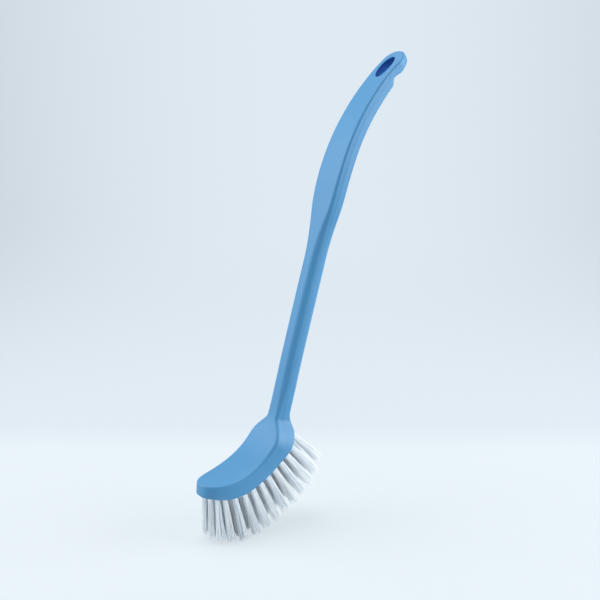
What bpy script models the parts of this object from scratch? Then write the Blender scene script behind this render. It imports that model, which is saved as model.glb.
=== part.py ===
"""Toilet brush: a one-piece moulded handle and curved head, with bristle tufts stapled into its head.

The brush is held up, tufts down, with its handle leaning towards +X, and its origin is the middle of the hole
that it hangs by. It is symmetric about the plane y = 0. The moulding is a loft that follows a bent spine, the
centre line of its back: distances run along the spine from the nose, widths across it, and depths square to
it, from the back towards the bristles. All lengths are in metres.
"""

import math

import bmesh
import bpy
import numpy as np
from mathutils import Matrix, Vector

# Moulding: lengths along the spine, full widths, and depths from the back to the underside
HEAD_LENGTH = 0.0873
HANDLE_LENGTH = 0.2992
HEAD_WIDTH = 0.0348
NOSE_LENGTH = 0.0400
SHOULDER_LENGTH = 0.0200
NECK_LENGTH = 0.0041
NECK_WIDTH = 0.0133
SHANK_WIDTH = 0.0153
GRIP_START_WIDTH = 0.0191
GRIP_SWELL_WIDTH = 0.0246
GRIP_WIDTH = 0.026
GRIP_TAPER_WIDTH = 0.0219
END_WIDTH = 0.0188
END_CAP_LENGTH = 0.0120
NOSE_DEPTH = 0.0108
TOE_DEPTH = 0.0140
HEAD_DEPTH = 0.0148
HEEL_DEPTH = 0.0190
NECK_DEPTH = 0.0133
SHANK_DEPTH = 0.0146
GRIP_DEPTH = 0.0126
LIP_DEPTH = 0.0120
END_DEPTH = 0.0078

# Rounding of the long edges, on the back and under the head
NOSE_EDGE_RADIUS = 0.0022
HEAD_EDGE_RADIUS = 0.0025
NECK_EDGE_RADIUS = 0.003
SHANK_EDGE_RADIUS = 0.0055
GRIP_EDGE_RADIUS = 0.0027
END_EDGE_RADIUS = 0.0021
TUFT_FACE_EDGE_RADIUS = 0.001

# Widths, depths and back edges along the moulding, at shares of the length of the head or of the handle
HANDLE_WIDTH_SHARES = (
    (0.0, NECK_WIDTH), (0.08, SHANK_WIDTH), (0.40, SHANK_WIDTH), (0.485, GRIP_START_WIDTH),
    (0.55, GRIP_SWELL_WIDTH), (0.61, GRIP_WIDTH), (0.81, GRIP_TAPER_WIDTH), (0.96, END_WIDTH),
    (1.0, END_WIDTH),
)
HEAD_DEPTH_SHARES = ((0.0, NOSE_DEPTH), (0.24, TOE_DEPTH), (0.62, HEAD_DEPTH), (0.87, HEEL_DEPTH))
HANDLE_DEPTH_SHARES = (
    (0.0, NECK_DEPTH), (0.08, SHANK_DEPTH), (0.38, SHANK_DEPTH), (0.55, GRIP_DEPTH), (0.78, LIP_DEPTH),
    (0.90, LIP_DEPTH), (1.0, END_DEPTH),
)
HEAD_EDGE_SHARES = ((0.0, NOSE_EDGE_RADIUS), (0.3, HEAD_EDGE_RADIUS), (0.65, HEAD_EDGE_RADIUS))
HANDLE_EDGE_SHARES = (
    (0.0, NECK_EDGE_RADIUS), (0.09, SHANK_EDGE_RADIUS), (0.42, SHANK_EDGE_RADIUS),
    (0.56, GRIP_EDGE_RADIUS), (1.0, END_EDGE_RADIUS),
)
MAX_EDGE_SHARE = 0.48

# Fullness of the nose's outline: 2 is an ellipse, and more is squarer
NOSE_FULLNESS = 2.5

# Shares of the shoulders' length over which their slant bends in from the head's sides and out to the neck
HEEL_BEND_SHARE = 0.6
NECK_BEND_SHARE = 0.15

# Finger step under the handle's end, steep towards the grip, and the hole that the brush hangs by
STEP_STEEP_LENGTH = 0.0059
STEP_GENTLE_LENGTH = 0.0099
STEP_DEPTH = 0.0031
STEP_FROM_END = 0.0220
HANG_HOLE_LENGTH = 0.0205
HANG_HOLE_WIDTH = 0.0092
HANG_HOLE_FROM_END = 0.0089
HANG_HOLE_CUTTER_REACH = 0.02

# Blind sockets in the head, the flat wire staples driven across them, and the tufts folded round these
SOCKET_DIAMETER = 0.0044
SOCKET_DEPTH = 0.006
STAPLE_THICKNESS = 0.0005
STAPLE_HEIGHT = 0.0016
STAPLE_BITE = 0.0004
FOLD_THICKNESS = 0.0009
CLEARANCE = 0.0003
TUFT_LENGTH = 0.0398
TUFT_STANDOUT = 0.0006
TUFT_TIP_SPREAD = 0.0058
STRAND_ROOT_THICKNESS = 0.0008
STRAND_TIP_THICKNESS = 0.0009
STRANDS_IN_RING = 7
STRAND_SIDES = 3
SOCKET_SIDES = 10

# Tuft pattern: full rows across the head, closer towards the heel, then the pairs at its nose and its heel
TUFT_COLUMNS = 10
FIRST_COLUMN_FROM_NOSE = 0.0144
LAST_COLUMN_FROM_NECK = 0.0188
COLUMN_BOW_SHARE = 0.143
OUTER_ROW_FROM_EDGE = 0.0045
INNER_ROW_SHARE = 0.33
NOSE_PAIR_FROM_NOSE = 0.0072
NOSE_PAIR_SPACING = 0.0070
CORNER_PAIR_FROM_NOSE = 0.0095
CORNER_PAIR_SPACING = 0.0174
HEEL_PAIR_FROM_NECK = 0.0128
HEEL_PAIR_SPACING = 0.0164

# Lean of the tufts towards the heel, their splay in the outer rows, and the share of TUFT_LENGTH that is left
# after trimming, at shares of the way from the nose pair to the heel pair
NOSE_TUFT_TILT = math.radians(2.0)
HEEL_TUFT_TILT = math.radians(43.0)
OUTER_ROW_SPLAY = math.radians(4.0)
TRIM_SHARES = (
    (0.0, 0.87), (0.13, 0.93), (0.24, 0.965), (0.56, 0.975), (0.76, 0.965), (0.91, 0.92), (1.0, 0.90),
)

# Bends of the spine: share of the head's or the handle's length, and the turn in degrees over it
NOSE_HEADING = math.radians(-5.5)
HEAD_BEND_SHARES = ((0.20, 12.0), (0.20, 16.0), (0.20, 17.0), (0.13, 12.5), (0.14, 13.0), (0.13, 9.0))
HANDLE_BEND_SHARES = (
    (0.045, 2.0), (0.115, -2.0), (0.425, -1.0), (0.105, -8.0), (0.105, -11.5), (0.105, -10.5), (0.10, -15.6),
)

# Samples along the spine: shares of the nose, of the stretches of the head, and of the handle
NOSE_ANGLE_STEPS = 14
HEAD_STEPS = 5
SHOULDER_STEPS = 8
HANDLE_SAMPLE_SHARES = (
    0.02, 0.05, 0.09, 0.15, 0.23, 0.32, 0.40, 0.44, 0.475, 0.505, 0.535, 0.57, 0.61, 0.66, 0.71, 0.76, 0.81,
    0.85, 0.88,
)
STEP_SAMPLE_SHARES = (-1.0, -0.7, -0.4, -0.15, 0.0, 0.15, 0.35, 0.6, 0.8, 1.0)
END_ANGLE_STEPS = 7
MIN_SAMPLE_GAP = 0.0002
EDGE_STEPS = 4
BACK_COLUMN_SHARES = (-0.8, -0.4, 0.0, 0.4, 0.8)
BACK_CROWN_SHARE = 0.014
HANG_HOLE_SIDES = 24
CUT_OVERRUN = 0.002

BLUE = (0.098, 0.352, 0.658, 1.0)
WHITE = (0.80, 0.83, 0.87, 1.0)

BRUSH_LENGTH = HEAD_LENGTH + HANDLE_LENGTH
HEEL_PAIR_FROM_NOSE = HEAD_LENGTH - HEEL_PAIR_FROM_NECK


def smooth(stations, distance):
    """A curve through the stations, whose slope at each is the mean of the slopes on its two sides."""
    at = np.array([station[0] for station in stations])
    value = np.array([station[1] for station in stations])
    slope = np.diff(value) / np.diff(at)
    inner = np.where(slope[1:] * slope[:-1] > 0, (slope[1:] + slope[:-1]) / 2, 0.0)
    tangent = np.concatenate([[0.0], inner, [0.0]])
    span = np.clip(np.searchsorted(at, distance) - 1, 0, len(at) - 2)
    width = at[span + 1] - at[span]
    t = np.clip((distance - at[span]) / width, 0.0, 1.0)
    rise = value[span + 1] - value[span]
    start = t * (1 - t) ** 2 * width * tangent[span]
    stop = t ** 2 * (1 - t) * width * tangent[span + 1]
    return float(value[span] + rise * t ** 2 * (3 - 2 * t) + start - stop)


def spine(distance):
    """Point and heading of the spine in the plane of symmetry, along arcs that meet without a corner."""
    arcs = [(share * HEAD_LENGTH, math.radians(turn)) for share, turn in HEAD_BEND_SHARES]
    arcs += [(share * HANDLE_LENGTH, math.radians(turn)) for share, turn in HANDLE_BEND_SHARES]
    x, z, heading, left = 0.0, 0.0, NOSE_HEADING, distance
    for position, (length, turn) in enumerate(arcs):
        last = position == len(arcs) - 1
        run = left if last else min(left, length)
        chord_heading = heading + turn * run / length / 2
        half_turn = turn * run / length / 2
        chord = run * math.sin(half_turn) / half_turn if half_turn else run
        x += chord * math.cos(chord_heading)
        z += chord * math.sin(chord_heading)
        heading += 2 * half_turn
        left -= run
        if left <= 0:
            break
    return Vector((x, 0.0, z)), heading


def on_moulding(distance, across, depth):
    """Place a point by its distance along the spine, its offset across it and its depth under the back."""
    point, heading = spine(distance)
    inward = Vector((math.sin(heading), 0.0, -math.cos(heading)))
    return point + Vector((0.0, across, 0.0)) + inward * depth


def along_brush(head_shares, handle_shares):
    """Stations given as shares of the head and of the handle, as distances from the nose."""
    stations = [(share * HEAD_LENGTH, value) for share, value in head_shares]
    return stations + [(HEAD_LENGTH + share * HANDLE_LENGTH, value) for share, value in handle_shares]


def slanted(share):
    """A straight slant from 0 to 1 whose two ends bend in along parabolas."""
    slope = 1 / (1 - HEEL_BEND_SHARE / 2 - NECK_BEND_SHARE / 2)
    if share < HEEL_BEND_SHARE:
        return slope * share ** 2 / (2 * HEEL_BEND_SHARE)
    if share > 1 - NECK_BEND_SHARE:
        return 1 - slope * (1 - share) ** 2 / (2 * NECK_BEND_SHARE)
    return slope * (share - HEEL_BEND_SHARE / 2)


def half_width(distance):
    """Half the moulding's width: a full nose, straight sides, shoulders, a slim shank and a swelling grip."""
    head = HEAD_WIDTH / 2
    neck_start = HEAD_LENGTH - NECK_LENGTH
    shoulder_start = neck_start - SHOULDER_LENGTH
    if distance < NOSE_LENGTH:
        return head * max(0.0, 1 - (1 - distance / NOSE_LENGTH) ** NOSE_FULLNESS) ** (1 / NOSE_FULLNESS)
    if distance < shoulder_start:
        return head
    if distance < neck_start:
        return head + (NECK_WIDTH / 2 - head) * slanted((distance - shoulder_start) / SHOULDER_LENGTH)
    cap = max(0.0, (distance - (BRUSH_LENGTH - END_CAP_LENGTH)) / END_CAP_LENGTH)
    full = smooth(along_brush((), HANDLE_WIDTH_SHARES), distance)
    return full / 2 * math.sqrt(max(0.0, 1 - cap ** 2))


def depth_at(distance):
    """Depth of the moulding from its back to its underside, less the finger step near the handle's end."""
    past_step = distance - (BRUSH_LENGTH - STEP_FROM_END)
    share = past_step / (STEP_GENTLE_LENGTH if past_step > 0 else STEP_STEEP_LENGTH)
    dip = STEP_DEPTH * math.cos(math.pi / 2 * share) ** 2 if abs(share) < 1 else 0.0
    return smooth(along_brush(HEAD_DEPTH_SHARES, HANDLE_DEPTH_SHARES), distance) - dip


def edge_radii(distance):
    """Radii of the long edges on the back and on the underside, which only the tufted face keeps sharp."""
    back = smooth(along_brush(HEAD_EDGE_SHARES, HANDLE_EDGE_SHARES), distance)
    past_shoulder = distance - (HEAD_LENGTH - NECK_LENGTH - SHOULDER_LENGTH)
    share = min(1.0, max(0.0, past_shoulder / (2 * SHOULDER_LENGTH)))
    limit = MAX_EDGE_SHARE * depth_at(distance)
    return min(back, limit), min(TUFT_FACE_EDGE_RADIUS + (back - TUFT_FACE_EDGE_RADIUS) * share, limit)


def spine_samples():
    """Distances from the nose to the handle's end, close together where the outline turns."""
    shoulder_start = HEAD_LENGTH - NECK_LENGTH - SHOULDER_LENGTH
    straight = shoulder_start - NOSE_LENGTH
    nose_angles = [math.pi / 2 * step / NOSE_ANGLE_STEPS for step in range(NOSE_ANGLE_STEPS + 1)]
    samples = [NOSE_LENGTH * (1 - math.cos(angle)) for angle in nose_angles]
    samples += [NOSE_LENGTH + straight * step / HEAD_STEPS for step in range(1, HEAD_STEPS + 1)]
    shoulder_pitch = SHOULDER_LENGTH / SHOULDER_STEPS
    samples += [shoulder_start + shoulder_pitch * step for step in range(1, SHOULDER_STEPS + 1)]
    samples += [HEAD_LENGTH + HANDLE_LENGTH * share for share in HANDLE_SAMPLE_SHARES]
    step_middle = BRUSH_LENGTH - STEP_FROM_END
    for share in STEP_SAMPLE_SHARES:
        samples.append(step_middle + share * (STEP_GENTLE_LENGTH if share > 0 else STEP_STEEP_LENGTH))
    cap_start = BRUSH_LENGTH - END_CAP_LENGTH
    end_angles = [math.pi / 2 * step / END_ANGLE_STEPS for step in range(END_ANGLE_STEPS + 1)]
    samples += [cap_start + END_CAP_LENGTH * math.sin(angle) for angle in end_angles]
    kept = [samples[0]]
    for sample in sorted(samples):
        if kept[-1] + MIN_SAMPLE_GAP < sample < BRUSH_LENGTH - MIN_SAMPLE_GAP:
            kept.append(sample)
    return kept + [BRUSH_LENGTH]


def outline():
    """Half outline seen square to the back: distance, half width and outward direction of each sample."""
    distances = spine_samples()
    widths = [half_width(distance) for distance in distances]
    points = np.array([distances, widths]).T
    mirrored = points * np.array([1.0, -1.0])
    ring = np.vstack([mirrored[1], points, mirrored[-2]])
    tangent = ring[2:] - ring[:-2]
    tangent /= np.linalg.norm(tangent, axis=1)[:, None]
    return points, np.stack([-tangent[:, 1], tangent[:, 0]], axis=1)


def loft_rings():
    """Rings from the underside to the back: two rounded edges with a plain wall between them."""
    points, outward = outline()
    angles = [math.pi / 2 * step / EDGE_STEPS for step in range(EDGE_STEPS + 1)]
    radii = [edge_radii(distance) for distance in points[:, 0]]
    levels = [(True, angle) for angle in reversed(angles)] + [(False, angle) for angle in angles]
    rings = []
    for under, angle in levels:
        half = []
        for (distance, width), normal, (back, front) in zip(points, outward, radii):
            depth = depth_at(distance)
            radius = front if under else back
            inset = radius * (1 - math.cos(angle))
            sink = radius * (1 - math.sin(angle))
            across = max(0.0, width - inset * normal[1]) if width > 0 else 0.0
            half.append((distance - inset * normal[0], across, depth - sink if under else sink))
        rings.append(half)
    return rings


def moulding_mesh():
    """Close the loft with a crowned back and a plain underside, both laid as rungs across the spine."""
    rings = loft_rings()
    count = len(rings[0])
    vertices, faces, loops = [], [], []
    for half in rings:
        both = half + [(distance, -across, depth) for distance, across, depth in reversed(half[1:-1])]
        loops.append(list(range(len(vertices), len(vertices) + len(both))))
        vertices += [on_moulding(*place) for place in both]
    for lower, upper in zip(loops, loops[1:]):
        for here in range(len(lower)):
            there = (here + 1) % len(lower)
            faces.append((lower[here], lower[there], upper[there], upper[here]))
    underside = (loops[0], rings[0], (0.0,), 0.0)
    back = (loops[-1], rings[-1], BACK_COLUMN_SHARES, BACK_CROWN_SHARE)
    for loop, half, shares, crown in (underside, back):
        rungs = [[loop[0]]]
        for position in range(1, count - 1):
            distance, across, depth = half[position]
            middle = []
            for share in shares:
                lift = crown * 2 * across * (1 - share ** 2)
                middle.append(len(vertices))
                vertices.append(on_moulding(distance, -across * share, depth - lift))
            rungs.append([loop[position]] + middle + [loop[-position]])
        rungs.append([loop[count - 1]])
        for first, second in zip(rungs, rungs[1:]):
            longer = max(len(first), len(second))
            for column in range(longer - 1):
                corners = [first[min(column, len(first) - 1)], first[min(column + 1, len(first) - 1)]]
                corners += [second[min(column + 1, len(second) - 1)], second[min(column, len(second) - 1)]]
                faces.append(tuple(dict.fromkeys(corners)))
    mesh = bpy.data.meshes.new("brush_body")
    mesh.from_pydata(vertices, [], faces)
    shape = bmesh.new()
    shape.from_mesh(mesh)
    bmesh.ops.recalc_face_normals(shape, faces=shape.faces)
    shape.to_mesh(mesh)
    shape.free()
    return mesh


def tuft_places():
    """Name, distance along the spine and offset across it of each tuft. The rows follow the outline."""
    run = HEAD_LENGTH - LAST_COLUMN_FROM_NECK - FIRST_COLUMN_FROM_NOSE
    places = []
    for column in range(TUFT_COLUMNS):
        share = column / (TUFT_COLUMNS - 1)
        distance = FIRST_COLUMN_FROM_NOSE + run * (share + COLUMN_BOW_SHARE * share * (1 - share))
        outer = half_width(distance) - OUTER_ROW_FROM_EDGE
        for row, across in enumerate((-outer, -outer * INNER_ROW_SHARE, outer * INNER_ROW_SHARE, outer)):
            places.append((f"tuft_column{column + 1:02d}_row{row + 1}", distance, across))
    pairs = (
        ("nose", NOSE_PAIR_FROM_NOSE, NOSE_PAIR_SPACING),
        ("corner", CORNER_PAIR_FROM_NOSE, CORNER_PAIR_SPACING),
        ("heel", HEEL_PAIR_FROM_NOSE, HEEL_PAIR_SPACING),
    )
    for name, distance, spacing in pairs:
        places.append((f"tuft_{name}_left", distance, spacing / 2))
        places.append((f"tuft_{name}_right", distance, -spacing / 2))
    return places


def pattern_share(distance):
    """How far a tuft sits along the pattern, from the nose pair to the heel pair."""
    return (distance - NOSE_PAIR_FROM_NOSE) / (HEEL_PAIR_FROM_NOSE - NOSE_PAIR_FROM_NOSE)


def tuft_matrix(distance, across):
    """Frame of a tuft: its origin on the tufted face, +Z out along the bristles, and Y across the head."""
    tilt = NOSE_TUFT_TILT + (HEEL_TUFT_TILT - NOSE_TUFT_TILT) * pattern_share(distance)
    splay = OUTER_ROW_SPLAY * across / (HEAD_WIDTH / 2 - OUTER_ROW_FROM_EDGE)
    down = Vector((math.sin(tilt), 0.0, -math.cos(tilt)))
    sideways = Vector((0.0, 1.0, 0.0))
    along = sideways.cross(down)
    turn = Matrix((along, sideways, down)).transposed().to_4x4() @ Matrix.Rotation(-splay, 4, "X")
    return Matrix.Translation(on_moulding(distance, across, depth_at(distance))) @ turn


def drum(shape, radius, bottom, top, matrix):
    """Add a closed drum along the local Z axis."""
    middle = matrix @ Matrix.Translation((0.0, 0.0, (bottom + top) / 2))
    bmesh.ops.create_cone(
        shape, cap_ends=True, segments=SOCKET_SIDES, radius1=radius, radius2=radius, depth=top - bottom,
        matrix=middle,
    )


def block(shape, size, centre, matrix):
    """Add a closed block of the given size round a local centre."""
    scale = Matrix.Diagonal((*size, 1.0))
    bmesh.ops.create_cube(shape, size=1.0, matrix=matrix @ Matrix.Translation(centre) @ scale)


def mesh_from(shape, name):
    """Turn a bmesh into a mesh whose faces all point outwards."""
    bmesh.ops.recalc_face_normals(shape, faces=shape.faces)
    mesh = bpy.data.meshes.new(name)
    shape.to_mesh(mesh)
    shape.free()
    return mesh


def staple_span():
    """Lowest and highest level of a staple in its socket, above the fold of the tuft."""
    bottom = -SOCKET_DEPTH + CLEARANCE + FOLD_THICKNESS + CLEARANCE
    return bottom, bottom + STAPLE_HEIGHT


def hang_hole_mesh():
    """An oval slot, cut square to the back near the handle's end."""
    centre_distance = BRUSH_LENGTH - HANG_HOLE_FROM_END - HANG_HOLE_LENGTH / 2
    start, _ = spine(centre_distance - HANG_HOLE_LENGTH / 2)
    stop, _ = spine(centre_distance + HANG_HOLE_LENGTH / 2)
    lengthways = (stop - start).normalized()
    sideways = Vector((0.0, 1.0, 0.0))
    inward = sideways.cross(lengthways)
    centre = (start + stop) / 2
    shape = bmesh.new()
    ends = []
    for level in (-HANG_HOLE_CUTTER_REACH, HANG_HOLE_CUTTER_REACH):
        ring = []
        for side in range(HANG_HOLE_SIDES):
            angle = 2 * math.pi * (side + 0.5) / HANG_HOLE_SIDES
            along = HANG_HOLE_LENGTH / 2 * math.cos(angle)
            across = HANG_HOLE_WIDTH / 2 * math.sin(angle)
            ring.append(shape.verts.new(centre + lengthways * along + sideways * across + inward * level))
        ends.append(shape.faces.new(ring))
    bmesh.ops.bridge_loops(shape, edges=[edge for end in ends for edge in end.edges])
    return mesh_from(shape, "hang_hole_cutter")


def tuft_mesh(length, build):
    """One tuft: strands that fan out of a bundle, whose legs join in a fold under the staple."""
    root = bmesh.new()
    here = Matrix.Identity(4)
    drum(root, SOCKET_DIAMETER / 2 - CLEARANCE, -SOCKET_DEPTH + CLEARANCE, TUFT_STANDOUT, here)
    bundle = add_object("tuft_bundle", mesh_from(root, "tuft_bundle"), build)
    window = bmesh.new()
    bottom, top = staple_span()
    size = (STAPLE_THICKNESS + 2 * CLEARANCE, 2 * SOCKET_DIAMETER, STAPLE_HEIGHT + 2 * CLEARANCE)
    block(window, size, (0.0, 0.0, (bottom + top) / 2), here)
    window_object = add_object("tuft_window_cutter", mesh_from(window, "tuft_window_cutter"), build)
    strands = bmesh.new()
    ring_radius = SOCKET_DIAMETER / 2 - CLEARANCE - STRAND_ROOT_THICKNESS
    for number in range(STRANDS_IN_RING + 1):
        angle = 2 * math.pi * number / STRANDS_IN_RING
        reach = 1.0 if number < STRANDS_IN_RING else 0.0
        direction = Vector((math.cos(angle), math.sin(angle), 0.0)) * reach
        spread = (TUFT_TIP_SPREAD / 2 - ring_radius) / (length - TUFT_STANDOUT)
        levels = ((-STRAND_ROOT_THICKNESS, STRAND_ROOT_THICKNESS), (length, STRAND_TIP_THICKNESS))
        rings = []
        for level, thickness in levels:
            centre = direction * (ring_radius + spread * (level - TUFT_STANDOUT)) + Vector((0.0, 0.0, level))
            ring = []
            for side in range(STRAND_SIDES):
                turn = angle + 2 * math.pi * side / STRAND_SIDES
                corner = Vector((math.cos(turn), math.sin(turn), 0.0)) * thickness / 2
                ring.append(strands.verts.new(centre + corner))
            rings.append(strands.faces.new(ring))
        bmesh.ops.bridge_loops(strands, edges=[edge for end in rings for edge in end.edges])
    strand_object = add_object("tuft_strands", mesh_from(strands, "tuft_strands"), build)
    combine(bundle, window_object, "DIFFERENCE")
    combine(bundle, strand_object, "UNION")
    bpy.context.view_layer.update()
    graph = bpy.context.evaluated_depsgraph_get()
    mesh = bpy.data.meshes.new_from_object(bundle.evaluated_get(graph))
    mesh.name = "tuft"
    for helper in (bundle, window_object, strand_object):
        bpy.data.objects.remove(helper)
    return mesh


def add_object(name, mesh, collection):
    """Put a mesh in the scene as a named object."""
    thing = bpy.data.objects.new(name, mesh)
    collection.objects.link(thing)
    return thing


def combine(thing, operand, operation):
    """Cut or join two objects with the exact solver."""
    modifier = thing.modifiers.new(operand.name, "BOOLEAN")
    modifier.operation = operation
    modifier.solver = "EXACT"
    modifier.object = operand


def as_cutter(thing):
    """Keep a helper out of renders and of the finished part."""
    thing.hide_render = True
    thing.display_type = "WIRE"


def plastic(name, colour, roughness):
    """A plain moulded or drawn plastic."""
    material = bpy.data.materials.new(name)
    material.use_nodes = True
    shader = material.node_tree.nodes["Principled BSDF"]
    shader.inputs["Base Color"].default_value = colour
    shader.inputs["Roughness"].default_value = roughness
    shader.inputs["Metallic"].default_value = 0.0
    return material


def hang_hole_centre():
    """Middle of the hanging hole, halfway through the moulding."""
    distance = BRUSH_LENGTH - HANG_HOLE_FROM_END - HANG_HOLE_LENGTH / 2
    return on_moulding(distance, 0.0, depth_at(distance) / 2)


def build_brush():
    """Make the moulding and its tufts, and hang them on the origin."""
    for old in list(bpy.data.objects):
        bpy.data.objects.remove(old)
    parts = bpy.data.collections.new("toilet_brush")
    helpers = bpy.data.collections.new("cutters")
    for collection in (parts, helpers):
        bpy.context.scene.collection.children.link(collection)

    body = add_object("brush_body", moulding_mesh(), parts)
    body.data.materials.append(plastic("blue_moulding", BLUE, 0.38))
    bristle = plastic("white_bristle", WHITE, 0.45)

    sockets, staples = bmesh.new(), bmesh.new()
    bottom, top = staple_span()
    staple_size = (STAPLE_THICKNESS, SOCKET_DIAMETER + 2 * STAPLE_BITE, STAPLE_HEIGHT)
    things = [body]
    trimmed = {}
    for name, distance, across in tuft_places():
        place = tuft_matrix(distance, across)
        if distance not in trimmed:
            length = TUFT_LENGTH * smooth(TRIM_SHARES, pattern_share(distance))
            trimmed[distance] = tuft_mesh(length, helpers)
            trimmed[distance].materials.append(bristle)
        drum(sockets, SOCKET_DIAMETER / 2, -SOCKET_DEPTH, CUT_OVERRUN, place)
        block(staples, staple_size, (0.0, 0.0, (bottom + top) / 2), place)
        thing = add_object(name, trimmed[distance], parts)
        thing.matrix_basis = place
        things.append(thing)

    cuts = (
        (hang_hole_mesh(), "DIFFERENCE"), (mesh_from(sockets, "socket_cutter"), "DIFFERENCE"),
        (mesh_from(staples, "staples"), "UNION"),
    )
    frame = bpy.data.objects.new("brush_frame", None)
    parts.objects.link(frame)
    frame.location = -hang_hole_centre()
    for mesh, operation in cuts:
        helper = add_object(mesh.name, mesh, helpers)
        helper.parent = frame
        as_cutter(helper)
        combine(body, helper, operation)
    for thing in things:
        thing.parent = frame
    body.data.shade_smooth()
    body.data.set_sharp_from_angle(angle=math.radians(40.0))


build_brush()
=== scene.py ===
"""Toilet brush: its finished look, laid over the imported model. All lengths are in metres."""

import math

import bmesh
import bpy
import numpy as np
from mathutils import Matrix, Vector


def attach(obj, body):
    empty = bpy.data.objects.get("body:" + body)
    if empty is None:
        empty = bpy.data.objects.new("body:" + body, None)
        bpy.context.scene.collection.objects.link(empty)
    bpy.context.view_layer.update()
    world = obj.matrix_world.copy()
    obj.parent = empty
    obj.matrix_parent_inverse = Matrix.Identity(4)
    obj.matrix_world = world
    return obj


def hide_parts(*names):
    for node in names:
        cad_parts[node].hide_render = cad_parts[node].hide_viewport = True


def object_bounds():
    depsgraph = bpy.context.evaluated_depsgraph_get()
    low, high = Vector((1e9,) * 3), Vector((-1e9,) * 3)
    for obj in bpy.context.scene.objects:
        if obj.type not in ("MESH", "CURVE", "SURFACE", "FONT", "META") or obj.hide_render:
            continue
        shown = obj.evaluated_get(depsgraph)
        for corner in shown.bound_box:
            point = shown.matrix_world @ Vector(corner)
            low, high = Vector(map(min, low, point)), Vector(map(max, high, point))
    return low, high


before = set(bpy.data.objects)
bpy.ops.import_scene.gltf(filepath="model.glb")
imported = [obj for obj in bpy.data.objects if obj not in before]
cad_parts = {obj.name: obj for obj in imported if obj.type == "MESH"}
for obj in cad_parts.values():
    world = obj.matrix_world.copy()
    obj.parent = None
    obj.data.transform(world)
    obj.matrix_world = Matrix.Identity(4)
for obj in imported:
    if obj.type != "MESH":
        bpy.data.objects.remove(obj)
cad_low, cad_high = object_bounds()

# The moulding: handle, neck and curved head of the brush, one piece of blue polypropylene.
# It comes out of an injection mould with a satin skin and rounded long edges, and its hanging hole is moulded
# in. The sockets for the tufts are drilled into the head afterwards.
HEAD_LENGTH = 0.0873
HANDLE_LENGTH = 0.2992
BRUSH_LENGTH = HEAD_LENGTH + HANDLE_LENGTH
NOSE_LENGTH = 0.0400
SHOULDER_LENGTH = 0.0200
NECK_LENGTH = 0.0041
END_CAP_LENGTH = 0.0120
HEAD_WIDTH = 0.0348
NECK_WIDTH = 0.0133
SHANK_WIDTH = 0.0153
GRIP_START_WIDTH = 0.0191
GRIP_SWELL_WIDTH = 0.0246
GRIP_WIDTH = 0.026
GRIP_TAPER_WIDTH = 0.0219
END_WIDTH = 0.0188
NOSE_DEPTH = 0.0108
TOE_DEPTH = 0.0140
HEAD_DEPTH = 0.0148
HEEL_DEPTH = 0.0190
NECK_DEPTH = 0.0133
SHANK_DEPTH = 0.0146
GRIP_DEPTH = 0.0126
LIP_DEPTH = 0.0120
END_DEPTH = 0.0078
NOSE_EDGE_RADIUS = 0.0022
HEAD_EDGE_RADIUS = 0.0025
NECK_EDGE_RADIUS = 0.003
SHANK_EDGE_RADIUS = 0.0055
GRIP_EDGE_RADIUS = 0.0027
END_EDGE_RADIUS = 0.0021
TUFT_FACE_EDGE_RADIUS = 0.001

# Its outline: widths, depths and back edges at shares of the head's or the handle's length, the fullness of
# the nose's curve, and the shares of the shoulders over which their slant bends in and out.
HANDLE_WIDTH_SHARES = (
    (0.0, NECK_WIDTH), (0.08, SHANK_WIDTH), (0.40, SHANK_WIDTH), (0.485, GRIP_START_WIDTH),
    (0.55, GRIP_SWELL_WIDTH), (0.61, GRIP_WIDTH), (0.81, GRIP_TAPER_WIDTH), (0.96, END_WIDTH),
    (1.0, END_WIDTH),
)
HEAD_DEPTH_SHARES = ((0.0, NOSE_DEPTH), (0.24, TOE_DEPTH), (0.62, HEAD_DEPTH), (0.87, HEEL_DEPTH))
HANDLE_DEPTH_SHARES = (
    (0.0, NECK_DEPTH), (0.08, SHANK_DEPTH), (0.38, SHANK_DEPTH), (0.55, GRIP_DEPTH), (0.78, LIP_DEPTH),
    (0.90, LIP_DEPTH), (1.0, END_DEPTH),
)
HEAD_EDGE_SHARES = ((0.0, NOSE_EDGE_RADIUS), (0.3, HEAD_EDGE_RADIUS), (0.65, HEAD_EDGE_RADIUS))
HANDLE_EDGE_SHARES = (
    (0.0, NECK_EDGE_RADIUS), (0.09, SHANK_EDGE_RADIUS), (0.42, SHANK_EDGE_RADIUS),
    (0.56, GRIP_EDGE_RADIUS), (1.0, END_EDGE_RADIUS),
)
MAX_EDGE_SHARE = 0.48
BACK_CROWN_SHARE = 0.014
NOSE_FULLNESS = 2.5
HEEL_BEND_SHARE = 0.6
NECK_BEND_SHARE = 0.15

# Its spine, the centre line of its back: where the nose starts, and the turn in degrees over each share of
# the head's or the handle's length.
NOSE_POINT = (-0.174842, 0.0, -0.294095)
NOSE_HEADING = math.radians(-5.5)
HEAD_BEND_SHARES = ((0.20, 12.0), (0.20, 16.0), (0.20, 17.0), (0.13, 12.5), (0.14, 13.0), (0.13, 9.0))
HANDLE_BEND_SHARES = (
    (0.045, 2.0), (0.115, -2.0), (0.425, -1.0), (0.105, -8.0), (0.105, -11.5), (0.105, -10.5), (0.10, -15.6),
)

# Its finger step under the handle's end, and the mould's seam: a fine ridge round the middle of the wall.
STEP_STEEP_LENGTH = 0.0059
STEP_GENTLE_LENGTH = 0.0099
STEP_DEPTH = 0.0031
STEP_FROM_END = 0.0220
SEAM_FOOT = 0.00072
SEAM_TOP = 0.00024
SEAM_HEIGHT = 0.00006
SEAM_PROFILE = (
    (-SEAM_FOOT / 2, 0.0), (-SEAM_TOP / 2, SEAM_HEIGHT), (SEAM_TOP / 2, SEAM_HEIGHT), (SEAM_FOOT / 2, 0.0),
)

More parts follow.
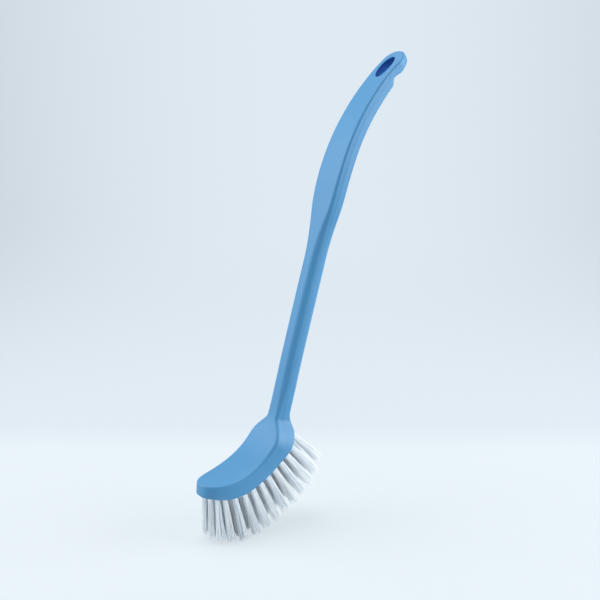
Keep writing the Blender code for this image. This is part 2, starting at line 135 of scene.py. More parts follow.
# How finely its skin is laid out: sections along the nose, the stretches after it and the handle's end, and
# points round each edge and across each face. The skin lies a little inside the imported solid.
SKIN_INSET = 0.0001
NOSE_SECTIONS = 60
STRETCH_SECTIONS = (24, 56, 150, 18, 20)
END_SECTIONS = 32
NECK_REACH_SHARE = 0.1
EDGE_STEPS = 9
FACE_STEPS = 8
MERGE_DISTANCE = 1e-6
SHARP_ANGLE = math.radians(35.0)


def curve_through(stations, at_place):
    """Cubics between stations, level at both ends, whose slope at each is the mean of those beside it."""
    at, value = np.array(stations).T
    slope = np.diff(value) / np.diff(at)
    inner = np.where(slope[1:] * slope[:-1] > 0, (slope[1:] + slope[:-1]) / 2, 0.0)
    tangent = np.concatenate([[0.0], inner, [0.0]])
    span = np.clip(np.searchsorted(at, at_place) - 1, 0, len(at) - 2)
    width = at[span + 1] - at[span]
    t = np.clip((at_place - at[span]) / width, 0.0, 1.0)
    rise = (value[span + 1] - value[span]) * t ** 2 * (3 - 2 * t)
    return value[span] + rise + width * t * (1 - t) * ((1 - t) * tangent[span] - t * tangent[span + 1])


def along_brush(head_shares, handle_shares, distance):
    """Value at distances from the nose, from stations at shares of the head's and of the handle's length."""
    stations = [(share * HEAD_LENGTH, value) for share, value in head_shares]
    stations += [(HEAD_LENGTH + share * HANDLE_LENGTH, value) for share, value in handle_shares]
    return curve_through(stations, distance)


def spine(distance):
    """Point (x, z) and heading of the back's centre line: arcs that meet without a corner. A point is its
    arc's start plus the chord run * sin(half turn) / half turn, laid along the mean heading."""
    arcs = [(share * HEAD_LENGTH, math.radians(turn)) for share, turn in HEAD_BEND_SHARES]
    arcs += [(share * HANDLE_LENGTH, math.radians(turn)) for share, turn in HANDLE_BEND_SHARES]
    length, turn = np.array(arcs).T
    heading = NOSE_HEADING + np.concatenate([[0.0], np.cumsum(turn)])
    chord = length * np.sinc(turn / 2 / np.pi)
    start = np.concatenate([[0.0], np.cumsum(length)[:-1]])
    start_x = np.concatenate([[0.0], np.cumsum(chord * np.cos(heading[:-1] + turn / 2))])
    start_z = np.concatenate([[0.0], np.cumsum(chord * np.sin(heading[:-1] + turn / 2))])
    arc = np.clip(np.searchsorted(start, distance, side="right") - 1, 0, len(length) - 1)
    run = distance - start[arc]
    half_turn = turn[arc] * run / length[arc] / 2
    reach = run * np.sinc(half_turn / np.pi)
    mean_heading = heading[arc] + half_turn
    x = start_x[arc] + reach * np.cos(mean_heading)
    z = start_z[arc] + reach * np.sin(mean_heading)
    return x, z, mean_heading + half_turn


def on_moulding(distance, across, depth):
    """Points at distances along the spine, offsets across it, and depths square to it under the back."""
    x, z, heading = spine(distance)
    places = [x + depth * np.sin(heading), across + 0 * x, z - depth * np.cos(heading)]
    return np.stack(places, axis=-1) + NOSE_POINT


def slanted(share):
    """A straight slant from 0 to 1, at one slope, whose two ends bend in along parabolas."""
    slope = 1 / (1 - HEEL_BEND_SHARE / 2 - NECK_BEND_SHARE / 2)
    heel = slope * share ** 2 / (2 * HEEL_BEND_SHARE)
    neck = 1 - slope * (1 - share) ** 2 / (2 * NECK_BEND_SHARE)
    straight = slope * (share - HEEL_BEND_SHARE / 2)
    return np.where(share < HEEL_BEND_SHARE, heel, np.where(share > 1 - NECK_BEND_SHARE, neck, straight))


def half_width(distance):
    """Half the moulding's width: a nose (1 - (1 - s) ** n) ** (1 / n) at shares s of its length, straight
    sides, slanted shoulders, then the handle's own widths, closed by a quarter ellipse at its end."""
    head = HEAD_WIDTH / 2
    neck_start = HEAD_LENGTH - NECK_LENGTH
    shoulder = np.clip((distance - neck_start + SHOULDER_LENGTH) / SHOULDER_LENGTH, 0.0, 1.0)
    waisted = head + (NECK_WIDTH / 2 - head) * slanted(shoulder)
    to_sides = np.clip(1 - distance / NOSE_LENGTH, 0.0, 1.0)
    rounded = head * np.clip(1 - to_sides ** NOSE_FULLNESS, 0.0, 1.0) ** (1 / NOSE_FULLNESS)
    cap = np.clip((distance - BRUSH_LENGTH + END_CAP_LENGTH) / END_CAP_LENGTH, 0.0, 1.0)
    handle = along_brush((), HANDLE_WIDTH_SHARES, distance) / 2 * np.sqrt(1 - cap ** 2)
    return np.where(distance < NOSE_LENGTH, rounded, np.where(distance < neck_start, waisted, handle))


def depth_at(distance):
    """Depth from the back to the underside, less a cosine-squared dip where a finger catches the handle."""
    past_step = distance - (BRUSH_LENGTH - STEP_FROM_END)
    share = past_step / np.where(past_step > 0, STEP_GENTLE_LENGTH, STEP_STEEP_LENGTH)
    dip = STEP_DEPTH * np.cos(np.pi / 2 * np.clip(share, -1.0, 1.0)) ** 2
    return along_brush(HEAD_DEPTH_SHARES, HANDLE_DEPTH_SHARES, distance) - dip


def edge_radii(distance):
    """Radii of the long edges on the back and on the underside, which only the tufted face keeps sharp."""
    back = along_brush(HEAD_EDGE_SHARES, HANDLE_EDGE_SHARES, distance)
    past_shoulder = distance - (HEAD_LENGTH - NECK_LENGTH - SHOULDER_LENGTH)
    share = np.clip(past_shoulder / (2 * SHOULDER_LENGTH), 0.0, 1.0)
    limit = MAX_EDGE_SHARE * depth_at(distance)
    under = TUFT_FACE_EDGE_RADIUS + (back - TUFT_FACE_EDGE_RADIUS) * share
    return np.minimum(back, limit), np.minimum(under, limit)


def outline_distances():
    """Distances from the nose of the loft's sections, crowded towards both ends by a cosine and a sine."""
    shoulder = HEAD_LENGTH - NECK_LENGTH - SHOULDER_LENGTH
    neck = HEAD_LENGTH + NECK_REACH_SHARE * HANDLE_LENGTH
    step = BRUSH_LENGTH - STEP_FROM_END
    cap = BRUSH_LENGTH - END_CAP_LENGTH
    bounds = (NOSE_LENGTH, shoulder, neck, step - STEP_STEEP_LENGTH, step, cap)
    runs = [NOSE_LENGTH * (1 - np.cos(np.linspace(0.0, np.pi / 2, NOSE_SECTIONS)))]
    for start, stop, count in zip(bounds, bounds[1:], STRETCH_SECTIONS):
        runs.append(np.linspace(start, stop, count + 1)[1:])
    runs.append(cap + END_CAP_LENGTH * np.sin(np.linspace(0.0, np.pi / 2, END_SECTIONS))[1:])
    return np.concatenate(runs)


def moulding_grid():
    """Closed sections along the spine. Each runs from the middle of the underside up one side to the middle
    of the back and down the other. On an edge of radius r at angle a, a point lies r (1 - cos a) inside the
    outline, along its normal, and r (1 - sin a) within the face. The back bulges by a parabola across it. The
    mould's seam runs round the middle of the wall, as a fine ridge."""
    distance = outline_distances()
    width = half_width(distance)
    ring = np.stack([distance, width], axis=-1)
    mirror = ring * np.array([1.0, -1.0])
    tangent = np.concatenate([ring[1:], mirror[-2:-1]]) - np.concatenate([mirror[1:2], ring[:-1]])
    tangent /= np.linalg.norm(tangent, axis=1)[:, None]
    outward = np.stack([-tangent[:, 1], tangent[:, 0]], axis=-1)
    depth = depth_at(distance)
    back_radius, under_radius = edge_radii(distance)
    top, foot = SKIN_INSET, depth - SKIN_INSET
    angle = np.linspace(0.0, np.pi / 2, EDGE_STEPS + 1)
    share = np.linspace(0.0, 1.0, FACE_STEPS + 1)

    def level(inset, sink, fill=1.0):
        """One line of points along the outline: inset from it, sunk below the back, drawn in to fill."""
        inward = inset + SKIN_INSET
        across = np.maximum(width - inward * outward[:, 1], 0.0) * (width > 0)
        return np.stack([distance - inward * outward[:, 0], across * fill, sink], axis=-1)

    lines = [level(under_radius, foot, fill) for fill in share[:-1]]
    for turn in angle[::-1]:
        lines.append(level(under_radius * (1 - np.cos(turn)), foot - under_radius * (1 - np.sin(turn))))
    seam = (top + back_radius + foot - under_radius) / 2
    lines += [level(-proud, seam - height) for height, proud in SEAM_PROFILE]
    for turn in angle:
        lines.append(level(back_radius * (1 - np.cos(turn)), top + back_radius * (1 - np.sin(turn))))
    rim = lines[-1][:, 1]
    for fill in share[::-1][1:]:
        lines.append(level(back_radius, top - BACK_CROWN_SHARE * 2 * rim * (1 - fill ** 2), fill))
    half = np.stack(lines, axis=1)
    other = half[:, -2:0:-1] * np.array([1.0, -1.0, 1.0])
    full = np.concatenate([half, other], axis=1)
    return on_moulding(full[..., 0], full[..., 1], full[..., 2])


def grid_mesh(name, grids):
    """A mesh from a stack of equal grids of points, each closed into rings by its columns: one quad between
    neighbours. Points that fall together are merged, which closes the ends, and faces are turned outwards."""
    count, rows, columns = grids.shape[:3]
    number = np.arange(rows * columns).reshape(rows, columns)
    ahead = np.roll(number, -1, axis=1)
    quads = np.stack([number[:-1], ahead[:-1], ahead[1:], number[1:]], axis=-1).reshape(-1, 4)
    faces = quads[None] + np.arange(count)[:, None, None] * rows * columns
    mesh = bpy.data.meshes.new(name)
    mesh.from_pydata(grids.reshape(-1, 3), [], faces.reshape(-1, 4))
    shape = bmesh.new()
    shape.from_mesh(mesh)
    bmesh.ops.remove_doubles(shape, verts=shape.verts, dist=MERGE_DISTANCE)
    bmesh.ops.recalc_face_normals(shape, faces=shape.faces)
    shape.to_mesh(mesh)
    shape.free()
    return mesh


def add_piece(name, mesh):
    """Put a mesh in the scene as a named piece."""
    piece = bpy.data.objects.new(name, mesh)
    bpy.context.scene.collection.objects.link(piece)
    return piece


# The hanging hole: an oval slot through the handle's end, square to its back, for a hook or a loop of cord.
# A pin in the mould leaves it open, and both its rims are rounded over so that they don't chafe the cord.
HOLE_LENGTH = 0.0205
HOLE_WIDTH = 0.0092
HOLE_FROM_END = 0.0089
HOLE_RIM_RADIUS = 0.0007
HOLE_SIDES = 96
RIM_STEPS = 7
RIM_TURN = math.radians(84.0)
RIM_FLARE = 0.0001
RIM_LIFT = 0.0004
CUTTER_REACH = 0.02

hole_middle = BRUSH_LENGTH - HOLE_FROM_END - HOLE_LENGTH / 2
hole_ends = hole_middle + np.array([-0.5, 0.5]) * HOLE_LENGTH
hole_start, hole_stop = on_moulding(hole_ends, np.zeros(2), np.zeros(2))
hole_lengthways = (hole_stop - hole_start) / np.linalg.norm(hole_stop - hole_start)


def hole_cutter():
    """An elliptical tube. Near each face its ellipse grows by r (1 - cos a) at r (1 - sin a) below that face,
    so that it leaves a rounded rim, and it flares a little beyond. The levels are the moulding's own."""
    sideways = np.array([0.0, 1.0, 0.0])
    inward = np.cross(sideways, hole_lengthways)
    centre = (hole_start + hole_stop) / 2
    turn = 2 * np.pi * np.arange(HOLE_SIDES) / HOLE_SIDES
    along, across = HOLE_LENGTH / 2 * np.cos(turn), HOLE_WIDTH / 2 * np.sin(turn)
    normal = np.stack([np.cos(turn) / HOLE_LENGTH, np.sin(turn) / HOLE_WIDTH], axis=-1)
    normal /= np.linalg.norm(normal, axis=1)[:, None]
    distance = hole_middle + along
    rim = half_width(distance) - edge_radii(distance)[0]
    crown = BACK_CROWN_SHARE * 2 * rim * (1 - (across / rim) ** 2)
    back = (on_moulding(distance, across, SKIN_INSET - crown) - centre) @ inward
    under = (on_moulding(distance, across, depth_at(distance) - SKIN_INSET) - centre) @ inward
    angle = np.linspace(0.0, RIM_TURN, RIM_STEPS)
    grown = HOLE_RIM_RADIUS * (1 - np.cos(angle))
    sunk = HOLE_RIM_RADIUS * (1 - np.sin(angle))
    flare, mouth = grown[-1] + RIM_FLARE, grown[-1] + 2 * RIM_FLARE
    levels = [(mouth, -CUTTER_REACH + 0 * back), (flare, back - RIM_LIFT)]
    levels += [(growth, back + sink) for growth, sink in zip(grown[::-1], sunk[::-1])]
    levels += [(growth, under - sink) for growth, sink in zip(grown, sunk)]
    levels += [(flare, under + RIM_LIFT), (mouth, CUTTER_REACH + 0 * under)]
    rows = []
    for growth, level in levels:
        out_along = (along + growth * normal[:, 0])[:, None] * hole_lengthways
        out_across = (across + growth * normal[:, 1])[:, None] * sideways
        rows.append(centre + out_along + out_across + level[:, None] * inward)
    ends = [np.repeat(row.mean(axis=0)[None], HOLE_SIDES, axis=0) for row in (rows[0], rows[-1])]
    return grid_mesh("hole_cutter", np.stack([ends[0]] + rows + [ends[1]])[None])


# The sockets: blind holes in the head's tufted face, ten rows of four, then pairs round the nose and at the
# heel. A drill with a blunt point sinks each along its own tuft's lean, before the head is filled.
SOCKET_DIAMETER = 0.0044
SOCKET_DEPTH = 0.006
DRILL_POINT = 0.0007
DRILL_OVERRUN = 0.002
SOCKET_SIDES = 28
TUFT_COLUMNS = 10
FIRST_COLUMN_FROM_NOSE = 0.0144
LAST_COLUMN_FROM_NECK = 0.0188
COLUMN_BOW_SHARE = 0.143
OUTER_ROW_FROM_EDGE = 0.0045
INNER_ROW_SHARE = 0.33
NOSE_PAIR_FROM_NOSE = 0.0072
NOSE_PAIR_SPACING = 0.0070
CORNER_PAIR_FROM_NOSE = 0.0095
CORNER_PAIR_SPACING = 0.0174
HEEL_PAIR_FROM_NECK = 0.0128
HEEL_PAIR_FROM_NOSE = HEAD_LENGTH - HEEL_PAIR_FROM_NECK
HEEL_PAIR_SPACING = 0.0164
PAIRS = (
    ("nose", NOSE_PAIR_FROM_NOSE, NOSE_PAIR_SPACING), ("corner", CORNER_PAIR_FROM_NOSE, CORNER_PAIR_SPACING),
    ("heel", HEEL_PAIR_FROM_NOSE, HEEL_PAIR_SPACING),
)
NOSE_TUFT_TILT = math.radians(2.0)
HEEL_TUFT_TILT = math.radians(43.0)
OUTER_ROW_SPLAY = math.radians(4.0)


def tuft_places():
    """Names, distances from the nose and offsets across the head of all the tufts."""
    run = HEAD_LENGTH - LAST_COLUMN_FROM_NECK - FIRST_COLUMN_FROM_NOSE
    names, places = [], []
    for column in range(TUFT_COLUMNS):
        share = column / (TUFT_COLUMNS - 1)
        distance = FIRST_COLUMN_FROM_NOSE + run * (share + COLUMN_BOW_SHARE * share * (1 - share))
        outer = half_width(distance) - OUTER_ROW_FROM_EDGE
        for row, across_share in enumerate((-1.0, -INNER_ROW_SHARE, INNER_ROW_SHARE, 1.0)):
            names.append(f"tuft_column{column + 1:02d}_row{row + 1}")
            places.append((distance, across_share * outer))
    for pair, distance, spacing in PAIRS:
        names += [f"tuft_{pair}_left", f"tuft_{pair}_right"]
        places += [(distance, spacing / 2), (distance, -spacing / 2)]
    return names, *np.array(places).T


def tuft_frames(distance, across):
    """Origins on the tufted face, and axes: Z out along the bristles, and Y across the head. The bristles
    lean towards the heel in proportion to their place in the pattern, and splay by their offset."""
    share = (distance - NOSE_PAIR_FROM_NOSE) / (HEEL_PAIR_FROM_NOSE - NOSE_PAIR_FROM_NOSE)
    tilt = NOSE_TUFT_TILT + (HEEL_TUFT_TILT - NOSE_TUFT_TILT) * share
    splay = OUTER_ROW_SPLAY * across / (HEAD_WIDTH / 2 - OUTER_ROW_FROM_EDGE)
    zero = 0 * tilt
    down = np.stack([np.sin(tilt), zero, -np.cos(tilt)], axis=-1)
    sideways = np.stack([zero, zero + 1, zero], axis=-1)
    along = np.cross(sideways, down)
    out = down * np.cos(splay)[:, None] + sideways * np.sin(splay)[:, None]
    axes = np.stack([along, np.cross(out, along), out], axis=1)
    return on_moulding(distance, across, depth_at(distance)), axes


tuft_names, tuft_distances, tuft_offsets = tuft_places()
tuft_origins, tuft_axes = tuft_frames(tuft_distances, tuft_offsets)


def socket_cutters():
    """A drum on each tuft's axis, from above the face to the socket's floor, with a drill's shallow point."""
    radius = SOCKET_DIAMETER / 2
    above = [(0.0, DRILL_OVERRUN), (radius, DRILL_OVERRUN)]
    profile = above + [(radius, -SOCKET_DEPTH), (0.0, -SOCKET_DEPTH - DRILL_POINT)]
    turn = 2 * np.pi * np.arange(SOCKET_SIDES) / SOCKET_SIDES
    ring = np.stack([np.cos(turn), np.sin(turn), 0 * turn], axis=-1)
    drum = np.stack([ring * reach + np.array([0.0, 0.0, level]) for reach, level in profile])
    placed = np.einsum("rsk,tkj->trsj", drum, tuft_axes) + tuft_origins[:, None, None]
    return grid_mesh("socket_cutters", placed)


def cut(piece, cutter_mesh):
    """Cut a piece with the exact solver and drop the cutter."""
    cutter = add_piece(cutter_mesh.name, cutter_mesh)
    modifier = piece.modifiers.new("cut", "BOOLEAN")
    modifier.operation = "DIFFERENCE"
    modifier.solver = "EXACT"
    modifier.object = cutter
    bpy.context.view_layer.update()
    graph = bpy.context.evaluated_depsgraph_get()
    done = bpy.data.meshes.new_from_object(piece.evaluated_get(graph))
    piece.modifiers.clear()
    piece.data = done
    bpy.data.objects.remove(cutter)


moulding = add_piece("moulded_handle_and_head", grid_mesh("moulding", moulding_grid()[None]))
cut(moulding, hole_cutter())
cut(moulding, socket_cutters())
moulding.data.shade_smooth()
moulding.data.set_sharp_from_angle(angle=SHARP_ANGLE)


class Signal:
    """An output of a shader node. Arithmetic on signals adds the Math nodes that work it out."""

    def __init__(self, socket):
        self.socket = socket

    def node(self, kind, settings, values, output=0):
        """Add a node to the same tree: its settings first, then the values or links of its sockets."""
        return add_node(self.socket.id_data, kind, settings, values, output)

    def maths(self, operation, *terms):
        """Add a Math node that works out one operation on signals and numbers."""
        return self.node("ShaderNodeMath", {"operation": operation}, dict(enumerate(terms)))

    def __add__(self, other):
        return self.maths("ADD", self, other)

    def __radd__(self, other):
        return self.maths("ADD", other, self)

    def __sub__(self, other):
        return self.maths("SUBTRACT", self, other)

    def __rsub__(self, other):
        return self.maths("SUBTRACT", other, self)

    def __mul__(self, other):
        return self.maths("MULTIPLY", self, other)

    def __rmul__(self, other):
        return self.maths("MULTIPLY", other, self)

    def __truediv__(self, other):
        return self.maths("DIVIDE", self, other)

    def rise(self, start, stop):
        """Smooth rise from 0 at start to 1 at stop."""
        limits = {0: self, "From Min": start, "From Max": stop}
        return self.node("ShaderNodeMapRange", {"interpolation_type": "SMOOTHSTEP"}, limits)


def add_node(tree, kind, settings, values, output=0):
    """Add a shader node, set what it is, then fill its sockets with numbers, colours or signals."""
    made = tree.nodes.new(kind)
    for name, setting in settings.items():
        if name == "stops":
            ramp = made.color_ramp.elements
            for number, (position, colour) in enumerate(setting):
                stop = ramp[number] if number < 2 else ramp.new(position)
                stop.position = position
                stop.color = colour
        else:
            setattr(made, name, setting)
    for name, value in values.items():
        if isinstance(value, Signal):
            tree.links.new(value.socket, made.inputs[name])
        else:
            made.inputs[name].default_value = value
    return Signal(made.outputs[output])


def new_material(name):
    """An empty node material, its shader and its Object coordinates."""
    material = bpy.data.materials.new(name)
    material.use_nodes = True
    shader = material.node_tree.nodes["Principled BSDF"]
    place = add_node(material.node_tree, "ShaderNodeTexCoord", {}, {}, "Object")
    return material, shader, place


def noise(place, scale, detail, roughness=0.5):
    """Noise in space, from 0 to 1, at so many waves per metre."""
    values = {"Vector": place, "Scale": scale, "Detail": detail, "Roughness": roughness}
    return place.node("ShaderNodeTexNoise", {}, values)


def grey(value):
    """A grey of the given level."""
    return (value, value, value, 1.0)


def between(signal, shares):
    """Straight rise from 0 at the first share to 1 at the second."""
    stops = ((shares[0], grey(0.0)), (shares[1], grey(1.0)))
    return signal.node("ShaderNodeValToRGB", {"stops": stops}, {0: signal})


def blend_colours(share, first, second):
    """Colour between two, by a share."""
    return share.node("ShaderNodeMix", {"data_type": "RGBA"}, {0: share, 6: first, 7: second}, 2)


def stretched(place, turn, scale):
    """Coordinates turned and stretched about the origin, for scratches along one direction."""
    return place.node("ShaderNodeMapping", {}, {"Vector": place, "Rotation": turn, "Scale": scale})


# The moulding's finish: a blue that drifts a little, flow marks from the mould, a fine skin, and faint
# scratches along the shank in a few worn places. The hole's wall is duller, and its deeper blue is painted
# shade, standing in for the shadow inside the hole. Waves are counted per metre.
PLASTIC_BLUE = (0.060, 0.250, 0.470, 1.0)
PLASTIC_BLUE_DEEP = (0.052, 0.226, 0.440, 1.0)
HOLE_PAINTED_SHADE_BLUE = (0.000, 0.085, 0.350, 1.0)
HOLE_EDGE_SHARES = (1.02, 1.16)
CLOUD_WAVES = 22.0
FLOW_WAVES = 90.0
SKIN_WAVES = 1900.0
SKIN_GRIT = 0.55
WORN_WAVES = 45.0
WORN_SHARES = (0.52, 0.68)
SCRATCH_SLOPE = math.radians(-66.0)
SCRATCH_WAVES = (60.0, 1500.0, 1500.0)
SCRATCH_SHARES = (0.62, 0.70)
SATIN_ROUGHNESS = 0.42
FLOW_DULLING = 0.08
SCRATCH_DULLING = 0.14
HOLE_DULLING = 0.45
SKIN_RELIEF = 0.5
SCRATCH_RELIEF = 0.35
RELIEF_STRENGTH = 0.25
RELIEF_HEIGHT = 0.00012
POLYMER_IOR = 1.49

blue_plastic, blue_shader, at = new_material("satin_blue_polypropylene")
cloud = noise(at, CLOUD_WAVES, 2.0)
flow = noise(at, FLOW_WAVES, 3.0)
skin = noise(at, SKIN_WAVES, 2.0, SKIN_GRIT)
scratch_place = stretched(at, (0.0, SCRATCH_SLOPE, 0.0), SCRATCH_WAVES)
scratched = between(noise(scratch_place, 1.0, 2.0), SCRATCH_SHARES)
worn = between(noise(at, WORN_WAVES, 2.0), WORN_SHARES)
fine_scratches = scratched * worn
tree = blue_plastic.node_tree
along_hole = at.node("ShaderNodeVectorMath", {"operation": "DOT_PRODUCT"}, {0: at, 1: hole_lengthways}, 1)
across_hole = at.node("ShaderNodeSeparateXYZ", {}, {"Vector": at}, "Y")
along_share, across_share = along_hole * (2 / HOLE_LENGTH), across_hole * (2 / HOLE_WIDTH)
outside_hole = (along_share * along_share + across_share * across_share).rise(*HOLE_EDGE_SHARES)
skin_colour = blend_colours(cloud, PLASTIC_BLUE_DEEP, PLASTIC_BLUE)
# Painted shade: inside the hanging hole the base colour turns to a deeper blue for the shadow there.
colour = blend_colours(outside_hole, HOLE_PAINTED_SHADE_BLUE, skin_colour)
tree.links.new(colour.socket, blue_shader.inputs["Base Color"])
dulling = flow * FLOW_DULLING + fine_scratches * SCRATCH_DULLING + (1.0 - outside_hole) * HOLE_DULLING
tree.links.new((SATIN_ROUGHNESS + dulling).socket, blue_shader.inputs["Roughness"])
relief = flow + skin * SKIN_RELIEF - fine_scratches * SCRATCH_RELIEF
bump = {"Height": relief, "Strength": RELIEF_STRENGTH, "Distance": RELIEF_HEIGHT}
tree.links.new(at.node("ShaderNodeBump", {}, bump).socket, blue_shader.inputs["Normal"])
blue_shader.inputs["IOR"].default_value = POLYMER_IOR

moulding.data.materials.clear()
moulding.data.materials.append(blue_plastic)
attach(moulding, "root")
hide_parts("brush_body")

# The tufts: bundles of white polypropylene filament, round and drawn, about 80 mm long before it is folded.
# Each bundle is folded in half over the staple that nails it into its socket, so that its two legs stand out
# as one tuft, and all the tips are trimmed together to the curve of the head.
FILAMENT_THICKNESS = 0.00048
FILAMENT_SIDES = 5
STRANDS_IN_TUFT = 24
TUFT_LENGTH = 0.0398
TRIM_SHARES = (
    (0.0, 0.87), (0.13, 0.93), (0.24, 0.965), (0.56, 0.975), (0.76, 0.965), (0.91, 0.92), (1.0, 0.90),
)
TRIM_RAGGEDNESS = 0.0048
TIP_WIDTH_SHARE = 0.88
SOCKET_LEVELS = (0.0002, -0.0036)
FOLD_LEVEL = -0.0048
FOLD_NEST = 0.0006
STAPLE_CLEARANCE = 0.0002

# How a tuft fans out: its reach round its axis in the socket and at the tips, along the head and across it,
# how far strands and whole clumps of strands stray from that, as shares of it, and how they sway on the way.
ROOT_REACH = 0.00190
TIP_REACH = np.array([0.0038, 0.0030])
TIP_STRAY_SHARE = 0.10
CLUMPS = 7
CLUMP_STRAY_SHARE = 0.09
SWAY = 0.0002
LEG_HEIGHT_SHARES = (1.0, 0.72, 0.42, 0.14)
CLUMP_TONE_SHARE = 0.6
TIP_PAINTED_HIGHLIGHT = 0.35
GOLDEN_ANGLE = math.radians(137.508)
TUFT_SEED = 20
random = np.random.default_rng(TUFT_SEED)


def tuft_lengths(distance):
    """Trimmed length of each tuft, from shares of the full length at its place in the pattern."""
    share = (distance - NOSE_PAIR_FROM_NOSE) / (HEEL_PAIR_FROM_NOSE - NOSE_PAIR_FROM_NOSE)
    return TUFT_LENGTH * curve_through(TRIM_SHARES, share)


def half_disc(count):
    """Even places in the half of a unit disc where x > 0: a sunflower's spiral, folded over."""
    number = np.arange(count) + 0.5
    turn = number * GOLDEN_ANGLE / 2 % np.pi - np.pi / 2
    return np.sqrt(number / count)[:, None] * np.stack([np.cos(turn), np.sin(turn)], axis=-1)


def clump_of(place):
    """Number of the clump that each place in the half disc belongs to: equal sectors, counted by angle."""
    return ((np.arctan2(place[:, 1], place[:, 0]) / np.pi + 0.5) * CLUMPS).astype(int)


def strand_paths(length):
    """Centre lines of one tuft's strands, each from tip to fold to tip. A leg runs straight from its place in
    the socket to a wider place in the same disc at the tip, but for a slight bow and one gentle wave. The
    strands of one clump stray together, which leaves gaps between the clumps."""
    root = half_disc(STRANDS_IN_TUFT)
    clump = clump_of(root)
    legs = []
    for side in (1.0, -1.0):
        flip = np.array([side, 1.0])
        together = random.normal(0.0, CLUMP_STRAY_SHARE, (CLUMPS, 2))[clump]
        tip = root + together + random.normal(0.0, TIP_STRAY_SHARE, root.shape)
        tip *= TIP_REACH / np.maximum(1.0, np.linalg.norm(tip, axis=1))[:, None]
        foot = root * (ROOT_REACH - STAPLE_CLEARANCE) + np.array([STAPLE_CLEARANCE, 0.0])
        cut_short = TRIM_RAGGEDNESS * random.random(len(root)) ** 2
        phase = random.random((len(root), 1)) * 2 * np.pi
        sway = random.normal(0.0, SWAY, root.shape)
        rows = []
        for height in LEG_HEIGHT_SHARES:
            bow = sway * math.sin(math.pi * height)
            wave = sway[:, ::-1] * np.sin(2 * math.pi * height + phase) / 2
            place = (foot + (tip - foot) * height + (bow + wave) * height) * flip
            level = SOCKET_LEVELS[0] + (length - cut_short - SOCKET_LEVELS[0]) * height
            rows.append(np.column_stack([place, level]))
        for level in SOCKET_LEVELS:
            rows.append(np.column_stack([foot * flip, np.full(len(root), level)]))
        legs.append(np.stack(rows, axis=1))
    depth = FOLD_LEVEL - FOLD_NEST * root[:, 0]
    fold = np.column_stack([np.zeros(len(root)), root[:, 1] * ROOT_REACH, depth])[:, None]
    return np.concatenate([legs[0], fold, legs[1][:, ::-1]], axis=1)


def strand_tones():
    """Tone of each strand of a tuft at each point of its path: a share of its clump's and the rest its own,
    drawn anew for each leg, and lighter at the tips by a random amount, as a painted highlight on the cut
    ends."""
    clump = clump_of(half_disc(STRANDS_IN_TUFT))
    legs = []
    for _ in range(2):
        own = random.random(STRANDS_IN_TUFT)
        tone = CLUMP_TONE_SHARE * random.random(CLUMPS)[clump] + (1 - CLUMP_TONE_SHARE) * own
        leg = np.repeat(tone[:, None], len(LEG_HEIGHT_SHARES) + len(SOCKET_LEVELS), axis=1)
        # Painted highlight: the tip of each leg is made lighter by a random amount.
        leg[:, 0] += TIP_PAINTED_HIGHLIGHT * random.random(STRANDS_IN_TUFT)
        legs.append(leg)
    fold = (legs[0][:, -1:] + legs[1][:, -1:]) / 2
    return np.concatenate([legs[0], fold, legs[1][:, ::-1]], axis=1)


def strand_rings(paths, thickness):
    """Rings round the paths: at each point one square to the path, turned from one fixed direction. The two
    outermost are a little narrower, where the knife has drawn the tips."""
    ahead = np.concatenate([paths[:, 1:], paths[:, -1:]], axis=1)
    behind = np.concatenate([paths[:, :1], paths[:, :-1]], axis=1)
    tangent = ahead - behind
    tangent /= np.linalg.norm(tangent, axis=-1, keepdims=True)
    sideways = np.cross(tangent, np.broadcast_to(np.array([0.0, 1.0, 0.0]), tangent.shape))
    sideways /= np.linalg.norm(sideways, axis=-1, keepdims=True)
    other = np.cross(tangent, sideways)
    turn = 2 * np.pi * np.arange(FILAMENT_SIDES) / FILAMENT_SIDES
    offset = sideways[:, :, None] * np.cos(turn)[:, None] + other[:, :, None] * np.sin(turn)[:, None]
    radius = np.full(paths.shape[1], thickness / 2)
    radius[[0, -1]] *= TIP_WIDTH_SHARE
    return paths[:, :, None] + offset * radius[:, None, None]


def strands_mesh(name, rings, tips):
    """One mesh of tubes: a quad between neighbours of each ring and the next, and a fan on each cut tip."""
    strands, rows, sides = rings.shape[:3]
    number = np.arange(rows * sides).reshape(rows, sides)
    beside = np.roll(number, -1, axis=1)
    first, last = np.full(sides, rows * sides), np.full(sides, rows * sides + 1)
    quads = np.stack([number[:-1], beside[:-1], beside[1:], number[1:]], axis=-1).reshape(-1, 4)
    fans = np.concatenate([
        np.stack([first, beside[0], number[0]], axis=-1), np.stack([last, number[-1], beside[-1]], axis=-1),
    ])
    places = np.concatenate([rings.reshape(strands, rows * sides, 3), tips], axis=1)
    shift = np.arange(strands)[:, None, None] * places.shape[1]
    faces = (quads + shift).reshape(-1, 4).tolist() + (fans + shift).reshape(-1, 3).tolist()
    mesh = bpy.data.meshes.new(name)
    mesh.from_pydata(places.reshape(-1, 3), [], faces)
    mesh.shade_smooth()
    return mesh


# The filament's finish: white with a cool, greyer tone in some strands and clumps, and a drawn, satin skin.
BRISTLE_WHITE = (0.96, 0.98, 1.0, 1.0)
BRISTLE_SHADE = (0.78, 0.86, 0.96, 1.0)
MOTTLE_WAVES = 420.0
TONE_WEIGHT = 1.5
MOTTLE_WEIGHT = 0.4
SHADE_START = 0.25
DRAWN_ROUGHNESS = 0.30
MOTTLE_DULLING = 0.16

